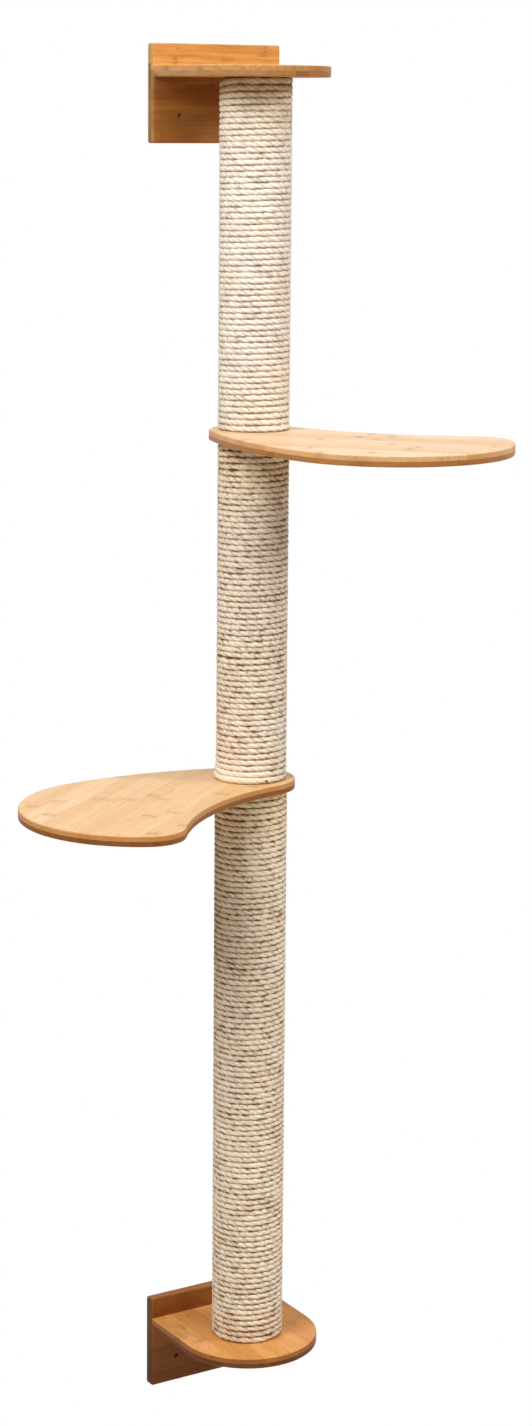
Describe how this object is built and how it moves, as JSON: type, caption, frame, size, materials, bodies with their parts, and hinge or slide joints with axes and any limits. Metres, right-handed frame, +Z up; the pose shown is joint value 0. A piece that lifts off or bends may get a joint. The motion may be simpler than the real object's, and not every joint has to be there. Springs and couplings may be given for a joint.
{
  "type": "wall mounted cat tree",
  "caption": "Tall wall mounted cat tree: a rope-wound scratching post between bamboo wall brackets, with kidney-shaped platforms clamped between its lengths.",
  "frame": {"origin": "centre of the lower wall plate's back face, on the wall", "axes": "+X to the right seen from the room, +Y into the wall, +Z up along the post"},
  "size_m": [0.6261, 0.4968, 1.95],
  "materials": {
    "platform_bamboo": "pale laminated bamboo, satin lacquer",
    "bracket_bamboo": "honey laminated bamboo, satin lacquer",
    "sisal": "twisted natural sisal rope",
    "card": "plain paperboard",
    "plug_wood": "unfinished fibreboard",
    "zinc_steel": "zinc plated"
  },
  "bodies": {
    "root": {"lower_wall_plate": "bracket_bamboo", "upper_wall_plate": "bracket_bamboo", "lower_bracket_shelf": "bracket_bamboo", "upper_bracket_shelf": "bracket_bamboo", "lower_bracket_bolt": "zinc_steel", "upper_bracket_bolt": "zinc_steel", "lower_post_tube": "card", "middle_post_tube": "card", "upper_post_tube": "card", "lower_post_plugs": "plug_wood", "middle_post_plugs": "plug_wood", "upper_post_plugs": "plug_wood", "plug_nuts": "zinc_steel", "post_ropes": "sisal", "lower_platform_stud": "zinc_steel", "upper_platform_stud": "zinc_steel"},
    "lower_platform": {"lower_platform": "platform_bamboo"},
    "upper_platform": {"upper_platform": "platform_bamboo"}
  },
  "joints": [
    {"name": "lower_platform_swivel", "type": "hinge", "parent": "root", "child": "lower_platform", "pos_m": [0, -0.118, 0.859], "axis": [0, 0, 1], "range_deg": [-5, 158]},
    {"name": "upper_platform_swivel", "type": "hinge", "parent": "root", "child": "upper_platform", "pos_m": [0, -0.118, 1.352], "axis": [0, 0, 1], "range_deg": [-98, 64]}
  ]
}
